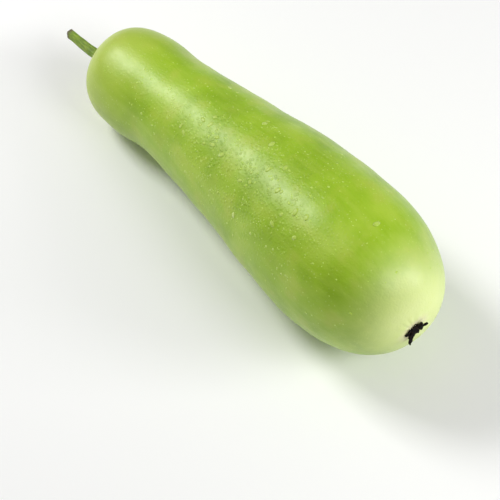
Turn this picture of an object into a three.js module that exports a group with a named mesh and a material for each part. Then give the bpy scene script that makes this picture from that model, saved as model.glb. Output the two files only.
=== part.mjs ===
// A bottle gourd as picked, lying on its side, with its stem stub and the dried remnant of its blossom.
// Millimetres, +Z up. +X runs from the stem end to the blossom end. The gourd rests on the plane Z = 0,
// and the origin is on that plane, under the middle of its bounding box.
import * as THREE from "three";
import { mergeVertices } from "three/addons/utils/BufferGeometryUtils.js";

const { clamp, degToRad, lerp, smoothstep } = THREE.MathUtils;

// Driving dimensions of the fruit. A station is a share of its length, from 0 at the stem to 1 at the blossom.
const FRUIT_LENGTH = 310;
const NECK_RADIUS = 33.7;
const BULB_RADIUS = 53.1;
const SWELL_STATIONS = [0.12, 0.82]; // the neck widens to the bulb between these
const HEAD = { swell: 2.3, station: 0.14, reach: 0.06 }; // a slight bulge at the top of the neck
const STEM_DOME = { reach: 0.11, fullness: 2.9, roundness: 1.8 };
const BLOSSOM_DOME = { reach: 0.4, fullness: 3.8, roundness: 2.3 };
const BOW = 9.3; // how far the middle stands out of the line between the two poles
const LEAN_DEGREES = 5.1; // the axis climbs towards the blossom end, because the bulb is the thicker
const GROUND_FLAT = { depth: 1.8, blend: 0.4 }; // what the ground has pressed off the round underside
// Uneven growth round the fruit, each with its number of waves, its share of the radius, and its turn.
const GROWTH_WAVES = [
  { waves: 2, share: 0.006, start: 0.4, turn: 0.5 },
  { waves: 3, share: 0.005, start: 1.9, turn: -0.8 },
  { waves: 5, share: 0.0025, start: 0.7, turn: 1.1 },
];

// Driving dimensions of the two pieces at the poles.
const CONTACT_GAP = 0.3;
const STEM = { length: 33.5, footRadius: 4, tipRadius: 3.2, ribs: 5, ribHeight: 0.06, cutSlant: 0.45 };
const STEM_FOOT = { flare: 1.6, reach: 5, sideways: -1.6, up: -0.8 }; // it sits a little off the pole
const STEM_CURL = { sideways: 1.4, up: 0.7 }; // how far the tip bends away from its foot
const REMNANT = { halfWidth: 9.5, halfDepth: 3.6, height: 4.4, droop: 0.35, rollDegrees: 30, rise: 0.3 };
const REMNANT_FOLDS = { waves: 3, height: 0.9 };

// How finely each piece is faceted: round its section, and along its axis.
const FRUIT_FACETS = [56, 44];
const STEM_FACETS = [30, 14];
const REMNANT_FACETS = [28, 16];

const SKIN = { color: 0xa6c54a, roughness: 0.4, metalness: 0 };
const GREEN_STALK = { color: 0x759c3f, roughness: 0.6, metalness: 0 };
const DRY_PETAL = { color: 0x1e150d, roughness: 0.85, metalness: 0 };

// A closed unit shape, with its vertices shared, whose every point a formula then puts in its place.
function reshape(unitShape, placePoint) {
  unitShape.deleteAttribute("normal");
  unitShape.deleteAttribute("uv");
  const geometry = mergeVertices(unitShape);
  const places = geometry.getAttribute("position");
  for (let i = 0; i < places.count; i++) {
    const place = placePoint(new THREE.Vector3().fromBufferAttribute(places, i));
    places.setXYZ(i, place.x, place.y, place.z);
  }
  return geometry;
}

// How far a domed end has opened at a distance from its pole: 0 at the pole, 1 where the dome ends.
function domeOpening(distance, dome) {
  const left = clamp(1 - distance / dome.reach, 0, 1);
  return (1 - left ** dome.fullness) ** (1 / dome.roundness);
}

function fruitRadius(station, around) {
  const swell = smoothstep(station, ...SWELL_STATIONS);
  const head = HEAD.swell * Math.exp(-(((station - HEAD.station) / HEAD.reach) ** 2));
  const girth = NECK_RADIUS + (BULB_RADIUS - NECK_RADIUS) * swell + head;
  let growth = 1;
  for (const { waves, share, start, turn } of GROWTH_WAVES) {
    growth += share * Math.cos(waves * around + start + turn * station);
  }
  return girth * growth * domeOpening(station, STEM_DOME) * domeOpening(1 - station, BLOSSOM_DOME);
}

// The bowed and leaning axis at a station: its place there, and the directions along, across and up.
function axisAt(station) {
  const fromMiddle = 2 * station - 1;
  const bow = BOW * (1 - fromMiddle ** 2);
  const slope = (-4 * BOW * fromMiddle) / FRUIT_LENGTH;
  const place = new THREE.Vector3(FRUIT_LENGTH * (station - 0.5), bow, 0);
  const along = new THREE.Vector3(1, slope, 0).normalize();
  const up = new THREE.Vector3(0, 0, 1);
  const across = new THREE.Vector3().crossVectors(up, along);
  const lean = new THREE.Matrix4().makeRotationY(degToRad(-LEAN_DEGREES));
  for (const vector of [place, along, across, up]) vector.applyMatrix4(lean);
  return { place, along, across, up };
}

// A place near the axis, given by its distances along two directions square to each other.
function offset(place, first, firstDistance, second, secondDistance) {
  return place
    .clone()
    .addScaledVector(first, firstDistance)
    .addScaledVector(second, secondDistance);
}

// Sections square to the axis, from the stem pole to the blossom pole, before it is set on the ground.
function makeRoundFruit() {
  return reshape(new THREE.SphereGeometry(1, ...FRUIT_FACETS), (unit) => {
    const station = clamp((1 - unit.y) / 2, 0, 1);
    const around = Math.atan2(unit.z, unit.x);
    const radius = fruitRadius(station, around);
    const { place, across, up } = axisAt(station);
    return offset(place, across, radius * Math.cos(around), up, radius * Math.sin(around));
  });
}

// Measures heights from the ground, and brings what would be below it up to a flat with a soft edge.
function setOnGround(geometry, ground) {
  const places = geometry.getAttribute("position");
  for (let i = 0; i < places.count; i++) {
    const height = places.getZ(i) - ground;
    const pressed = Math.max(height + GROUND_FLAT.blend, 0) ** 2 / (4 * GROUND_FLAT.blend);
    places.setZ(i, height > GROUND_FLAT.blend ? height : pressed);
  }
}

// A ribbed stub that flares at its foot, curls a little, and ends in a slanted cut.
function makeStem() {
  const { place: pole, along, across, up } = axisAt(0);
  return reshape(new THREE.CylinderGeometry(1, 1, 1, ...STEM_FACETS), (unit) => {
    const share = unit.y + 0.5; // 0 at the foot, 1 at the cut
    const around = Math.atan2(unit.z, unit.x);
    const length = share * STEM.length;
    const flare = STEM_FOOT.flare * Math.exp(-((length / STEM_FOOT.reach) ** 2));
    const ribs = 1 + STEM.ribHeight * Math.cos(STEM.ribs * around);
    const radius = (lerp(STEM.footRadius, STEM.tipRadius, share) + flare) * ribs;
    const sideways = Math.hypot(unit.x, unit.z) * radius * Math.cos(around);
    const upwards = Math.hypot(unit.x, unit.z) * radius * Math.sin(around);
    const slant = STEM.cutSlant * upwards * share ** 4;
    const centre = pole.clone().addScaledVector(along, -(CONTACT_GAP + length + slant));
    const rootSideways = STEM_FOOT.sideways + STEM_CURL.sideways * share ** 2;
    const rootUp = STEM_FOOT.up + STEM_CURL.up * share ** 2;
    return offset(centre, across, rootSideways + sideways, up, rootUp + upwards);
  });
}

// The shrivelled blossom: a flattened clump across the pole, folded back and forth along its width.
function makeBlossomRemnant() {
  const { place: pole, along, across, up } = axisAt(1);
  const roll = degToRad(REMNANT.rollDegrees);
  const wide = offset(new THREE.Vector3(), across, Math.cos(roll), up, Math.sin(roll));
  const deep = new THREE.Vector3().crossVectors(wide, along);
  return reshape(new THREE.SphereGeometry(1, ...REMNANT_FACETS), (unit) => {
    const share = (unit.y + 1) / 2; // 0 on the fruit, 1 at the outer end
    const height = share * REMNANT.height * (1 - REMNANT.droop * Math.abs(unit.x));
    const fold = REMNANT_FOLDS.height * Math.sin(REMNANT_FOLDS.waves * Math.PI * unit.x);
    const foot = pole.clone().addScaledVector(along, CONTACT_GAP + height);
    const depth = unit.z * REMNANT.halfDepth + fold * share - REMNANT.rise;
    return offset(foot, wide, unit.x * REMNANT.halfWidth, deep, depth);
  });
}

function makePiece(name, geometry, finish) {
  geometry.computeVertexNormals();
  const piece = new THREE.Mesh(geometry, new THREE.MeshStandardMaterial(finish));
  piece.name = name;
  return piece;
}

function makeGourd() {
  const fruitShape = makeRoundFruit();
  fruitShape.computeBoundingBox();
  const ground = fruitShape.boundingBox.min.z + GROUND_FLAT.depth;
  setOnGround(fruitShape, ground);
  const fruit = makePiece("fruit", fruitShape, SKIN);
  const stem = makePiece("stem", makeStem(), GREEN_STALK);
  const remnant = makePiece("blossom_remnant", makeBlossomRemnant(), DRY_PETAL);
  stem.position.z = -ground;
  remnant.position.z = -ground;
  const gourd = new THREE.Group();
  gourd.add(fruit, stem, remnant);
  const middle = new THREE.Box3().setFromObject(gourd).getCenter(new THREE.Vector3());
  gourd.position.set(-middle.x, -middle.y, 0);
  const part = new THREE.Group();
  part.add(gourd);
  return part;
}

export default makeGourd();
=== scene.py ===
import bpy
import numpy as np
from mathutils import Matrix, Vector


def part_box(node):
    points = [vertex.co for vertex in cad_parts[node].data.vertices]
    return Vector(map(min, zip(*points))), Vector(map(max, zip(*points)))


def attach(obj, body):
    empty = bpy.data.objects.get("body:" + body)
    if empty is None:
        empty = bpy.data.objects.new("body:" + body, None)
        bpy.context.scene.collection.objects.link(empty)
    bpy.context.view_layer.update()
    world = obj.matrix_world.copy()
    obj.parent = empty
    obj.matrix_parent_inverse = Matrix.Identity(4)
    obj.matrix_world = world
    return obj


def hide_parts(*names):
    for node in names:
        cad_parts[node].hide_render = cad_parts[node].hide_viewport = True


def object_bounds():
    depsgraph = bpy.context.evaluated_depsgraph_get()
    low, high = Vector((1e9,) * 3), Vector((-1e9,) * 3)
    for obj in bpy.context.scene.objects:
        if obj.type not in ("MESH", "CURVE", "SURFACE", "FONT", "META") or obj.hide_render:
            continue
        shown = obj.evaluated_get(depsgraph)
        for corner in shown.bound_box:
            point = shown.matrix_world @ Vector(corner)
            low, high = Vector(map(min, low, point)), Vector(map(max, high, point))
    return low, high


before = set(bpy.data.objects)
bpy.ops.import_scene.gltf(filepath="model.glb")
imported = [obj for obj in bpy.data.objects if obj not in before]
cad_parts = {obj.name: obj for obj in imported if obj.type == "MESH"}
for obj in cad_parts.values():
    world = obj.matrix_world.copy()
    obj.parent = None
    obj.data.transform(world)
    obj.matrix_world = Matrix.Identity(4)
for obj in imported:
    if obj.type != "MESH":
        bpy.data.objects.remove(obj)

cad_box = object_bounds()
MM = 0.001

# The fruit's driving dimensions, the same as the CAD part's. A station is a share of its length,
# from 0 at the stem to 1 at the blossom.
FRUIT_LENGTH = 310
NECK_RADIUS = 33.7
BULB_RADIUS = 53.1
SWELL_STATIONS = (0.12, 0.82)
HEAD_SWELL, HEAD_STATION, HEAD_REACH = 2.3, 0.14, 0.06
STEM_DOME = (0.11, 2.9, 1.8)  # reach, fullness, roundness
BLOSSOM_DOME = (0.4, 3.8, 2.3)
BOW = 9.3
LEAN = np.radians(5.1)
GROUND_BLEND = 0.4
GROWTH_WAVES = ((2, 0.006, 0.4, 0.5), (3, 0.005, 1.9, -0.8), (5, 0.0025, 0.7, 1.1))

# The stem is a little slimmer than the CAD part's, with less flare, and half a millimetre longer.
STEM_LENGTH = 34.0
STEM_FOOT_RADIUS, STEM_TIP_RADIUS = 3.8, 3.1
STEM_FOOT_FLARE, STEM_FOOT_REACH = 1.2, 4.0
STEM_FOOT_OFFSET = np.array([-1.6, -0.8])  # sideways and up from the pole
STEM_CURL = np.array([1.4, 0.7])
STEM_CUT_SLANT = 0.45

REMNANT_ROLL = np.radians(30)

FRUIT_GRID = (330, 276)  # rows from pole to pole, and points round
# The paleness round the blossom end is partly the fruit's own colour and partly a painted highlight: its
# middle is set up and to the side, towards the lit upper side.
PAINTED_LIGHT_SIDE = np.array([0, 7, 6])  # where the skin is palest, from the blossom pole
SCAR_HALF_WIDTHS = (11, 6.5)


# ---- The fruit's surface -------------------------------------------------------------------------

def smoothstep(value, low, high):
    """0 below low, 1 above high, and the cubic 3t^2 - 2t^3 between them."""
    share = np.clip((value - low) / (high - low), 0, 1)
    return share * share * (3 - 2 * share)


def bump(distance, reach):
    """A bell of height 1 at distance 0 that falls away over the reach."""
    return np.exp(-((distance / reach) ** 2))


def dome_opening(distance, reach, fullness, roundness):
    """0 at a pole and 1 where its dome ends: one less the share still to go, each to its power."""
    left = np.clip(1 - distance / reach, 0, 1)
    return (1 - left**fullness) ** (1 / roundness)


def fruit_radius(station, around):
    """The neck's girth, swelling to the bulb's, times the uneven growth and the domes at both ends."""
    girth = NECK_RADIUS + (BULB_RADIUS - NECK_RADIUS) * smoothstep(station, *SWELL_STATIONS)
    girth = girth + HEAD_SWELL * bump(station - HEAD_STATION, HEAD_REACH)
    growth = 1 + sum(
        share * np.cos(waves * around + start + turn * station)
        for waves, share, start, turn in GROWTH_WAVES
    )
    return girth * growth * dome_opening(station, *STEM_DOME) * dome_opening(1 - station, *BLOSSOM_DOME)


def lean(vectors):
    """Turned about Y, so that the blossom end rises."""
    x, y, z = np.moveaxis(vectors, -1, 0)
    return np.stack([x * np.cos(LEAN) - z * np.sin(LEAN), y, x * np.sin(LEAN) + z * np.cos(LEAN)], -1)


def axis_at(station):
    """The axis, a shallow parabola in plan: its place, and unit vectors along it, across it and up."""
    station = np.asarray(station, float)
    from_middle = 2 * station - 1
    flat = np.zeros_like(station)
    slope = -4 * BOW * from_middle / FRUIT_LENGTH
    length = np.sqrt(1 + slope**2)
    place = np.stack([FRUIT_LENGTH * (station - 0.5), BOW * (1 - from_middle**2), flat], -1)
    along = np.stack([1 / length, slope / length, flat], -1)
    across = np.stack([-slope / length, 1 / length, flat], -1)
    up = np.stack([flat, flat, flat + 1], -1)
    return lean(place), lean(along), lean(across), lean(up)


def round_skin(turn, around):
    """Circles square to the axis, one for each turn from 0 at the stem pole to pi at the blossom pole."""
    station = (1 - np.cos(turn)) / 2
    place, _, across, up = axis_at(station)
    radius = fruit_radius(station, around)[..., None]
    return place + across * radius * np.cos(around)[..., None] + up * radius * np.sin(around)[..., None]


def skin_normal(turn, around, step=1e-4):
    """Square to both tangents of the round skin, each taken over a small step, and 1 long."""
    down = round_skin(turn + step, around) - round_skin(turn - step, around)
    sideways = round_skin(turn, around + step) - round_skin(turn, around - step)
    outward = np.cross(down, sideways)
    return outward / np.linalg.norm(outward, axis=-1, keepdims=True)


def skin_relief(turn, around):
    """Height over the round skin: slow swells all over, creases and a collar round the stem, and a
    dimple, a corky ring and wrinkles round the blossom scar."""
    station = (1 - np.cos(turn)) / 2
    radius = fruit_radius(station, around)
    x = FRUIT_LENGTH * station
    swells = 0.22 * np.sin(x / 11.3 + 2 * around + 0.3) + 0.15 * np.sin(x / 7.1 - 3 * around + 1.7)
    swells = swells + 0.09 * np.sin(x / 4.3 + 4 * around + 4.0) + 0.16 * np.sin(x / 15.0 - around)
    swells = swells * smoothstep(station, 0.02, 0.1) * smoothstep(1 - station, 0.01, 0.08)
    near_stem = np.where(station < 0.5, radius, 99.0)
    near_scar = np.where(station > 0.5, radius, 99.0)
    creases = np.cos(10 * around + 0.8 * np.sin(2 * around)) - 1
    stem_end = 0.35 * creases * bump(near_stem - 9, 6) - 0.9 * bump(near_stem, 7)
    stem_end = stem_end + 0.3 * bump(near_stem - 12, 5)
    wrinkles = np.cos(13 * around + 1.2 * np.sin(3 * around))
    scar = 0.35 * bump(near_scar - 5.2, 1.3) - 1.0 * bump(near_scar, 4.2) - 0.5 * bump(near_scar - 8.5, 4)
    scar = scar + 0.14 * wrinkles * bump(near_scar - 9, 4)
    return swells + stem_end + scar


def set_on_ground(points):
    """Brings what would be under the floor up to it, along a parabola that meets both smoothly."""
    height = points[..., 2]
    pressed = np.maximum(height + GROUND_BLEND, 0) ** 2 / (4 * GROUND_BLEND)
    settled = np.where(height > GROUND_BLEND, height, pressed)
    return np.concatenate([points[..., :2], settled[..., None]], -1)


def fruit_place():
    """From the formula's own middle to the frame: what brings the round skin's high corner to the
    fruit's in the frame."""
    turn, around = np.meshgrid(np.linspace(0, np.pi, 400), np.linspace(0, 2 * np.pi, 361), indexing="ij")
    return np.array(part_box("fruit")[1]) / MM - round_skin(turn, around).max((0, 1))


PLACE = fruit_place()


def pole_place(station):
    """Where the axis leaves the fruit, in the frame's millimetres."""
    return axis_at(station)[0] + PLACE


def scar_directions():
    """Out of the blossom pole, along the scar's long way, and square to both."""
    _, along, across, up = axis_at(1.0)
    wide = across * np.cos(REMNANT_ROLL) + up * np.sin(REMNANT_ROLL)
    return along, wide, np.cross(along, wide)


def skin(turn, around, lift=0.0):
    """The finished skin, or a surface lifted off it, in the frame's millimetres."""
    height = skin_relief(turn, around) + lift
    points = round_skin(turn, around) + skin_normal(turn, around) * np.asarray(height)[..., None]
    return set_on_ground(points + PLACE)


# ---- Making meshes -------------------------------------------------------------------------------

def tube_faces(rows, columns):
    """Quads between rows of points that run round and close on themselves."""
    row, column = np.meshgrid(np.arange(rows - 1), np.arange(columns), indexing="ij")
    after = (column + 1) % columns
    here, below = row * columns, (row + 1) * columns
    return np.stack([here + column, here + after, below + after, below + column], -1).reshape(-1, 4)


def fan_faces(ring, centre):
    """Triangles from a ring of points, taken in order, to one point."""
    return np.stack([ring, np.roll(ring, -1), np.full_like(ring, centre)], -1)


def closed_tube(points):
    """A grid of rows that run round, closed at both ends by the mean of its first and last row."""
    rows, columns = points.shape[:2]
    vertices = np.concatenate([points.reshape(-1, 3), points[:1].mean(1), points[-1:].mean(1)])
    start = fan_faces(np.arange(columns)[::-1], rows * columns)
    end = fan_faces(np.arange(columns) + (rows - 1) * columns, rows * columns + 1)
    return vertices, [*tube_faces(rows, columns).tolist(), *start.tolist(), *end.tolist()]


def make_piece(name, vertices, faces, material, slot=None, replaces=None, marks=None):
    """One piece of the gourd from points in millimetres. marks are values at its points, by name."""
    mesh = bpy.data.meshes.new(name)
    mesh.from_pydata(vertices * MM, [], faces)
    mesh.polygons.foreach_set("use_smooth", np.ones(len(mesh.polygons), bool))
    for mark, values in (marks or {}).items():
        mesh.attributes.new(mark, "FLOAT", "POINT").data.foreach_set("value", values.astype(np.float32))
    mesh.materials.append(material)
    mesh.update()
    piece = bpy.data.objects.new(name, mesh)
    bpy.context.scene.collection.objects.link(piece)
    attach(piece, "root")
    if replaces:
        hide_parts(replaces)
    return piece


# ---- Materials -----------------------------------------------------------------------------------

def srgb(code):
    """A #rrggbb colour as linear red, green, blue and alpha."""
    value = np.array([int(code[i:i + 2], 16) for i in (1, 3, 5)]) / 255
    linear = np.where(value > 0.04045, ((value + 0.055) / 1.055) ** 2.4, value / 12.92)
    return (*linear.tolist(), 1.0)


def per_mm(size):
    """A texture's scale, in repeats a metre, for a feature of that size in millimetres."""
    return 1 / (size * MM)


# The kinds of node that the materials share, and the sockets of a Mix node for colours.
NOISE, CELLS, RAMP, MIX = "ShaderNodeTexNoise", "ShaderNodeTexVoronoi", "ShaderNodeValToRGB", "ShaderNodeMix"
BUMP, MATHS, MAPPING = "ShaderNodeBump", "ShaderNodeMath", "ShaderNodeMapping"
COORDINATES, MARK = "ShaderNodeTexCoord", "ShaderNodeAttribute"
FACTOR, FIRST, SECOND, MIXED = 0, 6, 7, 2


def add_node(tree, kind, inputs=None, output=0, stops=(), **settings):
    """Adds a node with its settings, and gives back the output asked for. An input is a value, or the
    output that it is linked from. A colour ramp's stops are (position, colour or grey level)."""
    node = tree.nodes.new(kind)
    for name, value in settings.items():
        setattr(node, name, value)
    for position, _ in stops[2:]:
        node.color_ramp.elements.new(position)
    for index, (position, colour) in enumerate(stops):
        element = node.color_ramp.elements[index]
        element.position = position
        element.color = srgb(colour) if isinstance(colour, str) else (colour, colour, colour, 1)
    for socket, value in (inputs or {}).items():
        if isinstance(value, bpy.types.NodeSocket):
            tree.links.new(value, node.inputs[socket])
        else:
            node.inputs[socket].default_value = value
    return node.outputs[output] if node.outputs else node


def new_material(name, values):
    """A material with the Principled shader linked to its output and these values on the shader's own
    sockets. Gives back the material, its node tree and the shader's inputs."""
    material = bpy.data.materials.new(name)
    material.use_nodes = True
    tree = material.node_tree
    tree.nodes.clear()
    surface = add_node(tree, "ShaderNodeBsdfPrincipled", values)
    add_node(tree, "ShaderNodeOutputMaterial", {"Surface": surface})
    return material, tree, surface.node.inputs


def gourd_skin():
    """The rind of a young bottle gourd: thin, waxy and finely downy over pale green flesh. Its eye is a
    soft yellow-green with a broad satin gloss, pale flecks, cloudy mottling and faint lengthwise streaks,
    palest round the blossom scar, and finely beaded where rinse water wets it. The paleness round the
    blossom end is partly the fruit's own colour and partly a painted highlight, set towards its upper, lit
    side."""
    material, tree, socket = new_material("young_gourd_rind_waxy", {
        "IOR": 1.5, "Specular Tint": srgb("#eff7cf"), "Coat Weight": 0.42, "Coat Roughness": 0.35,
        "Subsurface Weight": 0.2, "Subsurface Radius": (1.0, 1.3, 0.3), "Subsurface Scale": 0.002,
    })
    place = add_node(tree, COORDINATES, output="Object")
    lengthwise = add_node(tree, MAPPING, {"Vector": place, "Scale": (0.1, 1, 1)})

    cloudy = add_node(tree, NOISE, {"Vector": place, "Scale": per_mm(30), "Detail": 4})
    greens = [(0.32, "#8bb017"), (0.5, "#9abf20"), (0.68, "#abca38")]
    colour = add_node(tree, RAMP, {"Fac": cloudy}, stops=greens)
    streaky = add_node(tree, NOISE, {"Vector": lengthwise, "Scale": per_mm(4), "Detail": 3})
    streaks = add_node(tree, RAMP, {"Fac": streaky}, stops=[(0.42, 0.0), (0.75, 0.3)])
    tinged = add_node(tree, NOISE, {"Vector": place, "Scale": per_mm(16), "Detail": 3})
    tinge = add_node(tree, RAMP, {"Fac": tinged}, stops=[(0.52, 0.0), (0.68, 0.3)])
    cells = add_node(tree, CELLS, {"Vector": place, "Scale": per_mm(2.4)})
    fleck = add_node(tree, RAMP, {"Fac": cells}, stops=[(0.12, 0.45), (0.26, 0.0)])
    patchy = add_node(tree, NOISE, {"Vector": place, "Scale": per_mm(9)})
    patches = add_node(tree, RAMP, {"Fac": patchy}, stops=[(0.4, 0.0), (0.6, 1.0)])
    flecks = add_node(tree, MATHS, {0: fleck, 1: patches}, operation="MULTIPLY")
    for share, tint in (
        (streaks, "#bcd357"),
        (tinge, "#b8c34a"),
        (add_node(tree, MARK, output="Fac", attribute_name="stem_end"), "#b3c44f"),
        # Paler round the blossom end: partly the fruit's own colour, partly a painted highlight on its
        # upper, lit side.
        (add_node(tree, MARK, output="Fac", attribute_name="blossom_pale_and_painted_highlight"), "#d6e297"),
        (flecks, "#c9db7d"),
        (add_node(tree, MARK, output="Fac", attribute_name="scar"), "#e2e0b0"),
    ):
        inputs = {FACTOR: share, FIRST: colour, SECOND: srgb(tint)}
        colour = add_node(tree, MIX, inputs, output=MIXED, data_type="RGBA")
    tree.links.new(colour, socket["Base Color"])

    worn = add_node(tree, NOISE, {"Vector": place, "Scale": per_mm(6), "Detail": 4})
    gloss = add_node(tree, RAMP, {"Fac": worn}, stops=[(0.3, 0.38), (0.7, 0.5)])
    tree.links.new(gloss, socket["Roughness"])

    pores = add_node(tree, NOISE, {"Vector": place, "Scale": per_mm(1.2), "Detail": 2})
    cells = add_node(tree, CELLS, {"Vector": place, "Scale": per_mm(2.3)})
    beads = add_node(tree, RAMP, {"Fac": cells}, stops=[(0.0, 1.0), (0.22, 0.8), (0.5, 0.0)])
    gathered = add_node(tree, NOISE, {"Vector": place, "Scale": per_mm(7)})
    gathers = add_node(tree, RAMP, {"Fac": gathered}, stops=[(0.3, 0.1), (0.6, 1.0)])
    beads = add_node(tree, MATHS, {0: beads, 1: gathers}, operation="MULTIPLY")
    misted = add_node(tree, MARK, output="Fac", attribute_name="misted")
    beads = add_node(tree, MATHS, {0: beads, 1: misted}, operation="MULTIPLY")
    waves = add_node(tree, NOISE, {"Vector": lengthwise, "Scale": per_mm(7)})
    normal = add_node(tree, BUMP, {"Height": pores, "Strength": 0.4, "Distance": 0.0004})
    normal = add_node(tree, BUMP, {"Height": beads, "Strength": 0.7, "Distance": 0.0006, "Normal": normal})
    normal = add_node(tree, BUMP, {"Height": waves, "Strength": 0.25, "Distance": 0.0006, "Normal": normal})
    tree.links.new(normal, socket["Normal"])
    return material


def green_stalk():
    """A fresh cucurbit peduncle, ribbed and fibrous: duller and darker than the rind, brown where cut,
    with a paler pith."""
    material, tree, socket = new_material("fresh_peduncle_fibrous", {
        "Roughness": 0.55, "IOR": 1.42, "Sheen Weight": 0.15, "Sheen Roughness": 0.5,
        "Subsurface Weight": 0.1, "Subsurface Scale": 0.001,
    })
    place = add_node(tree, COORDINATES, output="Object")
    fibres = add_node(tree, MAPPING, {"Vector": place, "Scale": (0.12, 1, 1)})
    grain = add_node(tree, NOISE, {"Vector": fibres, "Scale": per_mm(0.7), "Detail": 4})
    greens = [(0.3, "#58791a"), (0.5, "#7e9a22"), (0.75, "#9fb53c")]
    colour = add_node(tree, RAMP, {"Fac": grain}, stops=greens)
    share = add_node(tree, MARK, output="Fac", attribute_name="share")
    rim = add_node(tree, RAMP, {"Fac": share}, stops=[(0.89, 0.0), (0.97, 1.0)])
    inputs = {FACTOR: rim, FIRST: colour, SECOND: srgb("#665f42")}
    colour = add_node(tree, MIX, inputs, output=MIXED, data_type="RGBA")
    face = add_node(tree, MARK, output="Fac", attribute_name="cut_face")
    rings = [(0.0, "#4a4028"), (0.35, "#8a8653"), (0.75, "#b9bd84"), (1.0, "#7d7a4c")]
    pith = add_node(tree, RAMP, {"Fac": face}, stops=rings)
    on_face = add_node(tree, RAMP, {"Fac": face}, stops=[(0.001, 0.0), (0.02, 1.0)])
    inputs = {FACTOR: on_face, FIRST: colour, SECOND: pith}
    colour = add_node(tree, MIX, inputs, output=MIXED, data_type="RGBA")
    tree.links.new(colour, socket["Base Color"])
    relief = add_node(tree, BUMP, {"Height": grain, "Strength": 0.5, "Distance": 0.0004})
    tree.links.new(relief, socket["Normal"])
    return material


def dried_petal():
    """Petals that withered on the fruit: almost black, papery, with browner worn edges."""
    values = {"Roughness": 0.75, "IOR": 1.4, "Specular IOR Level": 0.25}
    material, tree, socket = new_material("withered_petal_papery", values)
    place = add_node(tree, COORDINATES, output="Object")
    crinkle = add_node(tree, NOISE, {"Vector": place, "Scale": per_mm(1.2), "Detail": 4, "Roughness": 0.65})
    browns = [(0.35, "#070403"), (0.6, "#140d08"), (0.8, "#2a1d12")]
    colour = add_node(tree, RAMP, {"Fac": crinkle}, stops=browns)
    edge = add_node(tree, MARK, output="Fac", attribute_name="edge")
    edges = add_node(tree, RAMP, {"Fac": edge}, stops=[(0.8, 0.0), (1.0, 1.0)])
    rubbed = add_node(tree, RAMP, {"Fac": crinkle}, stops=[(0.4, 0.0), (0.7, 1.0)])
    worn = add_node(tree, MATHS, {0: edges, 1: rubbed}, operation="MULTIPLY")
    inputs = {FACTOR: worn, FIRST: colour, SECOND: srgb("#45321f")}
    colour = add_node(tree, MIX, inputs, output=MIXED, data_type="RGBA")
    tree.links.new(colour, socket["Base Color"])
    relief = add_node(tree, BUMP, {"Height": crinkle, "Strength": 0.8, "Distance": 0.0005})
    tree.links.new(relief, socket["Normal"])
    return material


def rinse_water():
    """Beads of rinse water, hazed by the wax and down that they hang on: milky with the rind's own green,
    barely clear, with a soft glint instead of a sharp one, and some beads duller than others."""
    values = {"IOR": 1.333, "Transmission Weight": 0.15, "Specular IOR Level": 0.3}
    material, tree, socket = new_material("rinse_water_hazed_by_wax", values)
    place = add_node(tree, COORDINATES, output="Object")
    milky = add_node(tree, NOISE, {"Vector": place, "Scale": per_mm(5), "Detail": 2})
    colour = add_node(tree, RAMP, {"Fac": milky}, stops=[(0.35, "#bcd956"), (0.65, "#c9e26c")])
    tree.links.new(colour, socket["Base Color"])
    haze = add_node(tree, RAMP, {"Fac": milky}, stops=[(0.35, 0.26), (0.65, 0.36)])
    tree.links.new(haze, socket["Roughness"])
    return material


# ---- The pieces ----------------------------------------------------------------------------------

def make_fruit(material):
    """The skin over rows from just past the stem pole to just short of the blossom pole. Its points
    hold how near they are to the stem end, to the blossom end and to the long oval of the scar, and
    how wet they are. Nearness to the blossom end is measured from a point set up and to the side, so
    its pale colour also paints a highlight on the upper, lit side."""
    rows, columns = FRUIT_GRID
    turn, around = np.meshgrid(
        np.pi * (np.arange(rows) + 0.5) / rows, 2 * np.pi * np.arange(columns) / columns, indexing="ij"
    )
    vertices, faces = closed_tube(skin(turn, around))
    from_scar = vertices - pole_place(1.0)
    _, wide, deep = scar_directions()
    oval = np.hypot(from_scar @ wide / SCAR_HALF_WIDTHS[0], from_scar @ deep / SCAR_HALF_WIDTHS[1])
    marks = {
        "stem_end": 1 - smoothstep(np.linalg.norm(vertices - pole_place(0.0), axis=1), 10, 85),
        # Pale blossom end, partly the fruit's own colour and partly a painted highlight set towards the
        # upper, lit side.
        "blossom_pale_and_painted_highlight": 1 - smoothstep(np.linalg.norm(from_scar - PAINTED_LIGHT_SIDE, axis=1), 8, 60),
        "misted": np.append(misting(FRUIT_LENGTH * (1 - np.cos(turn)) / 2, around).ravel(), [0, 0]),
        "scar": np.where(vertices[:, 0] > 0, 1 - smoothstep(oval, 0.5, 1.3), 0),
    }
    return make_piece("fruit_skin", vertices, faces, material, "gourd_skin", "fruit", marks)


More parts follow.
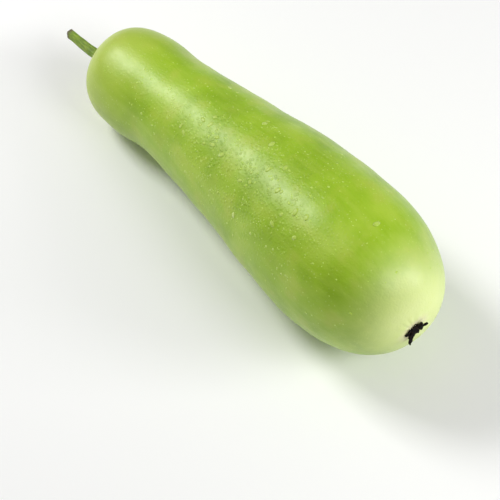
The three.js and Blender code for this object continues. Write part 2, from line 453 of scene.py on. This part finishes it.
def make_stem(material):
    """Circles round a curling line out of the stem pole: five ribs with finer ones between them, a
    foot that flares onto the skin, a rounded rim, and a slanted cut face with a dished pith."""
    side = np.linspace(0, 1, 90)
    face = np.linspace(1, 0.04, 22)
    share = np.concatenate([side, np.ones_like(face)])[:, None]
    rim = np.concatenate([np.ones_like(side), face])[:, None]
    around = np.linspace(0, 2 * np.pi, 120, endpoint=False)[None]
    pole, along, across, up = axis_at(0.0)
    length = share * STEM_LENGTH
    twist = around + 0.35 * share
    ribs = 1 + 0.06 * np.cos(5 * twist) + 0.018 * np.cos(15 * twist + 1)
    ribs = ribs + 0.012 * np.cos(11 * twist + 6 * share)
    knobs = 0.07 * np.sin(9 * share + 1.0) * np.cos(twist - 1) + 0.05 * np.sin(21 * share + 2 * around)
    radius = STEM_FOOT_RADIUS + (STEM_TIP_RADIUS - STEM_FOOT_RADIUS) * share + knobs
    radius = (radius + STEM_FOOT_FLARE * bump(length, STEM_FOOT_REACH) + 0.2 * bump(share - 1, 0.05)) * ribs
    rounding = 1 - 0.12 * np.clip((share - 0.985) / 0.015, 0, 1) ** 2
    sideways = rim * radius * rounding * np.cos(around)
    upwards = rim * radius * rounding * np.sin(around)
    dish = -0.5 * smoothstep(1 - rim, 0.1, 0.5) + 0.25 * bump(rim - 0.75, 0.1) + 0 * around
    out = length - 0.8 * (share == 0) + STEM_CUT_SLANT * upwards * share**4 + dish * (rim < 1)
    first = STEM_FOOT_OFFSET[0] + STEM_CURL[0] * share**2 + sideways
    second = STEM_FOOT_OFFSET[1] + STEM_CURL[1] * share**2 + upwards
    points = pole - along * out[..., None] + across * first[..., None] + up * second[..., None] + PLACE
    vertices, faces = closed_tube(points[:, ::-1])
    on_all = np.broadcast_to(share, points.shape[:2]).ravel()
    in_cut = np.broadcast_to(1 - rim, points.shape[:2]).ravel()
    marks = {"share": np.append(on_all, [0, 1]), "cut_face": np.append(in_cut, [0, 1])}
    return make_piece("stem_stub", vertices, faces, material, "green_stalk", "stem", marks)


# Each withered petal: its heading round the scar in degrees from the wide way, its length and half
# width, how high it arches, how far its tip stands out, and where its crumples start.
PETALS = (
    (2, 9.0, 1.0, 1.0, 4.0, 0.3),
    (14, 6.4, 2.2, 1.2, 1.6, 1.9),
    (-22, 5.8, 2.0, 1.6, 2.0, 4.4),
    (52, 4.2, 2.4, 1.2, 0.4, 2.2),
    (96, 3.4, 2.8, 1.2, 0.3, 0.9),
    (135, 4.8, 2.5, 1.2, 0.3, 5.9),
    (168, 7.2, 2.4, 1.2, 0.6, 4.1),
    (188, 6.8, 2.2, 1.8, 1.6, 2.7),
    (196, 9.4, 2.3, 1.2, 4.4, 5.2),
    (252, 3.4, 2.6, 1.8, 1.2, 3.3),
    (305, 3.4, 2.2, 1.8, 1.2, 0.1),
)


def petal(heading, length, half_width, arch, tip, start):
    """A flattened tube along a line that arches out of the scar and ends off the skin. Its section is
    a thin ellipse, bent by crumples that run both along it and across it."""
    along, wide, deep = scar_directions()
    ahead = wide * np.cos(np.radians(heading)) + deep * np.sin(np.radians(heading))
    side = np.cross(along, ahead)
    run = np.linspace(0, 1, 40)[:, None]
    section = np.linspace(0, 2 * np.pi, 36, endpoint=False)[None]
    taper = np.sqrt(np.clip(1 - (2 * run - 1) ** 6, 0, 1)) * (1 - 0.3 * run) + 0.03
    over = half_width * taper * np.cos(section)
    crumple = 0.4 * np.sin(2.4 * over + start + 3 * run) + 0.3 * np.sin(9 * run + 1.3 * over + 2 * start)
    crumple = crumple + 0.15 * np.sin(17 * run - 3.1 * over + start)
    crumple = crumple * smoothstep(run, 0, 0.3)
    ragged = 0.3 * np.sin(14 * run + start) * np.cos(section)
    ragged = ragged + 0.2 * np.sin(23 * run + 3 * start) * np.cos(section)
    thickness = (0.9 - 0.55 * run) * np.sqrt(taper)
    height = arch * np.sin(np.pi * np.clip(run * 0.8 + 0.1, 0, 1)) + tip * run**1.6 - 0.3
    height = height + crumple + thickness * np.sin(section)
    reach = -1.2 + (length + 1.2) * run + 0.3 * np.sin(5 * run + start)
    points = (
        pole_place(1.0) + along * height[..., None]
        + ahead * np.broadcast_to(reach, height.shape)[..., None] + side * (over + ragged)[..., None]
    )
    edge = np.broadcast_to(np.abs(np.cos(section)), height.shape)
    return points, edge


def make_remnant(material):
    """The withered petals, each a closed shell, lying over each other on the scar."""
    vertices, faces, edges, count = [], [], [], 0
    for row in PETALS:
        points, edge = petal(*row)
        petal_vertices, petal_faces = closed_tube(points)
        faces += [[corner + count for corner in face] for face in petal_faces]
        vertices.append(petal_vertices)
        edges.append(np.append(edge.ravel(), [0.5, 1]))
        count += len(petal_vertices)
    vertices, marks = np.concatenate(vertices), {"edge": np.concatenate(edges)}
    return make_piece("withered_petals", vertices, faces, material, "dried_petal", "blossom_remnant", marks)


# The largest droplets gather where the rinse water ran down the flank, and a few stray from there.
# Their places are stations along the fruit and degrees round it, and their widths are millimetres.
GATHERED_DROPLETS, STRAY_DROPLETS = 22, 6
GATHERED_STATIONS, UNEVEN_STEP = (0.36, 0.74), 0.012
GATHERED_DEGREES, GATHERED_SPREAD = 115, 14
STRAY_STATIONS, STRAY_DEGREES = (0.1, 0.94), (45, 170)
LARGE_WIDTH, LARGE_WIDTH_LIMITS = 2.6, (2.0, 3.4)
LARGE_SEED = 3
SMALL_DROPLETS = 900
SMALL_SEED = 7
LARGE_STEEPNESS, SMALL_STEEPNESS = 0.6, 0.24  # the height of a dome, as a share of its width
LARGE_GRID, SMALL_GRID = (9, 24), (3, 8)  # rings and spokes of one dome
SINK = 0.06  # how far a droplet's rim lies under the skin


def misting(along_mm, around):
    """How wet the skin is: most in a broad patch on the flank of the neck and body, a little over the
    rest of the upper side, and dry below."""
    patch = bump(along_mm - 165, 75) * bump((np.degrees(around) - 122 + 180) % 360 - 180, 36)
    return patch + 0.1 * smoothstep(np.sin(around), -0.1, 0.5)


def droplets(along_mm, around, length, width, heading, steepness, rings, spokes):
    """Low domes of water, each an ellipse on the skin: the height over it is a share of the width times
    the root of 1 - r^2 for r from the middle to the rim, and a sunk foot closes each dome below.
    Each point is set down on the skin by the millimetres that a step of turn and of around covers."""
    station = np.clip(along_mm / FRUIT_LENGTH, 0.01, 0.99)
    turn = np.arccos(1 - 2 * station)
    step = 1e-3
    per_turn = np.linalg.norm(round_skin(turn + step, around) - round_skin(turn, around), axis=-1) / step
    per_around = np.linalg.norm(round_skin(turn, around + step) - round_skin(turn, around), axis=-1) / step
    share = np.concatenate([np.linspace(0.15, 1, rings), [0.5]])[None, :, None]
    spoke = np.linspace(0, 2 * np.pi, spokes, endpoint=False)[None, None]
    a, b, turned = (value[:, None, None] for value in (length / 2, width / 2, heading))
    uneven = 1 + 0.08 * np.sin(2 * spoke + 5 * turned)
    first, second = a * share * uneven * np.cos(spoke), b * share * uneven * np.sin(spoke)
    lengthwise = first * np.cos(turned) - second * np.sin(turned)
    sideways = first * np.sin(turned) + second * np.cos(turned)
    dome = steepness * (2 * b) * np.sqrt(np.clip(1 - share**2, 0, 1)) - SINK
    dome[:, -1] = -2 * SINK
    points = skin(
        turn[:, None, None] + lengthwise / per_turn[:, None, None],
        around[:, None, None] + sideways / per_around[:, None, None], dome + 0 * spoke,
    )
    count = len(turn)
    grids = points.reshape(count, (rings + 1) * spokes, 3)
    middles = np.stack([points[:, 0].mean(1), points[:, -1].mean(1)], 1)
    vertices = np.concatenate([grids, middles], 1).reshape(-1, 3)
    each = (rings + 1) * spokes + 2
    ring = np.arange(spokes)
    quads = tube_faces(rings + 1, spokes)
    fans = np.concatenate([fan_faces(ring[::-1], each - 2), fan_faces(ring + rings * spokes, each - 1)])
    starts = (np.arange(count) * each)[:, None, None]
    faces = (quads[None] + starts).reshape(-1, 4).tolist() + (fans[None] + starts).reshape(-1, 3).tolist()
    return vertices, faces


def scatter_large(random):
    """Where the large droplets are, how long and wide they are, and their headings. The gathered ones
    follow each other down the flank at uneven steps, and the strays are anywhere on the upper side."""
    count = GATHERED_DROPLETS + STRAY_DROPLETS
    steps = np.linspace(*GATHERED_STATIONS, GATHERED_DROPLETS)
    steps = steps + random.normal(0, UNEVEN_STEP, GATHERED_DROPLETS)
    station = np.append(steps, random.uniform(*STRAY_STATIONS, STRAY_DROPLETS))
    gathered = random.normal(GATHERED_DEGREES, GATHERED_SPREAD, GATHERED_DROPLETS)
    around = np.radians(np.append(gathered, random.uniform(*STRAY_DEGREES, STRAY_DROPLETS)))
    width = np.clip(random.lognormal(np.log(LARGE_WIDTH), 0.15, count), *LARGE_WIDTH_LIMITS)
    length = width * random.uniform(1.0, 2.1, count)
    return FRUIT_LENGTH * station, around, length, width, random.uniform(0, np.pi, count)


def make_droplets(material):
    """Large droplets gathered on the flank, and small ones scattered over the upper side: thickest in a
    broad patch on the flank of the neck and body, and none below."""
    scattered = scatter_large(np.random.default_rng(LARGE_SEED))
    large = droplets(*scattered, LARGE_STEEPNESS, *LARGE_GRID)
    make_piece("large_droplets", *large, material)
    random = np.random.default_rng(SMALL_SEED)
    tries = SMALL_DROPLETS * 6
    along_mm = random.uniform(12, 296, tries)
    around = random.uniform(np.radians(10), np.radians(190), tries)
    clumps = 0.6 + 0.4 * np.sin(along_mm / 9 + 3 * around) * np.sin(along_mm / 5 - 7 * around)
    kept = np.flatnonzero(random.uniform(size=tries) < misting(along_mm, around) * clumps)[:SMALL_DROPLETS]
    size = np.clip(random.lognormal(np.log(0.85), 0.35, len(kept)), 0.45, 1.8)
    stretch = random.uniform(1.0, 1.4, len(kept))
    heading = random.uniform(0, np.pi, len(kept))
    places = (along_mm[kept], around[kept])
    small = droplets(*places, size * stretch, size, heading, SMALL_STEEPNESS, *SMALL_GRID)
    make_piece("small_droplets", *small, material).visible_shadow = False


# ---- Studio --------------------------------------------------------------------------------------

FLOOR_HALF = 4.0  # metres


def make_floor():
    """A wide sheet of white card."""
    half = FLOOR_HALF
    mesh = bpy.data.meshes.new("floor")
    corners = [(-half, -half, 0), (half, -half, 0), (half, half, 0), (-half, half, 0)]
    mesh.from_pydata(corners, [], [(0, 1, 2, 3)])
    values = {"Base Color": srgb("#fafaf9"), "Roughness": 0.9, "Specular IOR Level": 0.2}
    material, _, _ = new_material("white_card_matt", values)
    mesh.materials.append(material)
    floor = bpy.data.objects.new("floor", mesh)
    bpy.context.scene.collection.objects.link(floor)


# Each softbox: its name, the direction to it, its width and height in metres, and its watts.
SOFTBOXES = (
    ("softbox_stem_side", (-0.67, -0.22, 0.71), 0.42, 0.42, 10.5),
    ("softbox_stem_low", (-0.86, -0.30, 0.42), 0.9, 0.32, 2.0),
    ("softbox_blossom_side", (0.74, 0.55, 0.385), 0.44, 0.56, 7.2),
    ("softbox_blossom_wide", (0.76, 0.14, 0.63), 0.6, 0.6, 6.1),
)
SOFTBOX_DISTANCE = 1.3
SKY_STRENGTH = 0.17


def softbox(name, towards, distance, width, height, power, centre):
    """A rectangular light that faces the gourd from a direction, in metres and watts."""
    light = bpy.data.lights.new(name, "AREA")
    light.shape = "RECTANGLE"
    light.size, light.size_y, light.energy = width, height, power
    lamp = bpy.data.objects.new(name, light)
    direction = Vector(towards).normalized()
    lamp.location = centre + direction * distance
    lamp.rotation_euler = direction.to_track_quat("Z", "Y").to_euler()
    bpy.context.scene.collection.objects.link(lamp)
    return lamp


def light_studio(centre):
    """The softboxes, and a dim white sky all round."""
    for name, towards, width, height, power in SOFTBOXES:
        softbox(name, towards, SOFTBOX_DISTANCE, width, height, power, centre)
    world = bpy.data.worlds.new("studio")
    world.use_nodes = True
    world.node_tree.nodes["Background"].inputs["Color"].default_value = (1, 1, 1, 1)
    world.node_tree.nodes["Background"].inputs["Strength"].default_value = SKY_STRENGTH
    bpy.context.scene.world = world
    bpy.context.scene.view_settings.view_transform = "Standard"


CAMERA_AZIMUTH, CAMERA_ELEVATION = np.radians(49.87), np.radians(56.09)
CAMERA_DISTANCE = 1.2
CAMERA_LENS = 129.4
CAMERA_AIM = Vector((26.1, -15.3, -12.9)) * MM  # from the middle of the gourd's foot


def make_camera():
    """A long lens, turned to look down on the gourd from its blossom end."""
    data = bpy.data.cameras.new("camera")
    data.lens = CAMERA_LENS
    data.clip_start, data.clip_end = 0.01, 50
    camera = bpy.data.objects.new("camera", data)
    flat = np.cos(CAMERA_ELEVATION)
    back = Vector((np.sin(CAMERA_AZIMUTH) * flat, -np.cos(CAMERA_AZIMUTH) * flat, np.sin(CAMERA_ELEVATION)))
    camera.location = CAMERA_AIM + back * CAMERA_DISTANCE
    camera.rotation_euler = back.to_track_quat("Z", "Y").to_euler()
    bpy.context.scene.collection.objects.link(camera)
    bpy.context.scene.camera = camera


make_camera()
make_fruit(gourd_skin())
make_stem(green_stalk())
make_remnant(dried_petal())
make_droplets(rinse_water())
make_floor()
light_studio(sum(cad_box, Vector()) / 2)
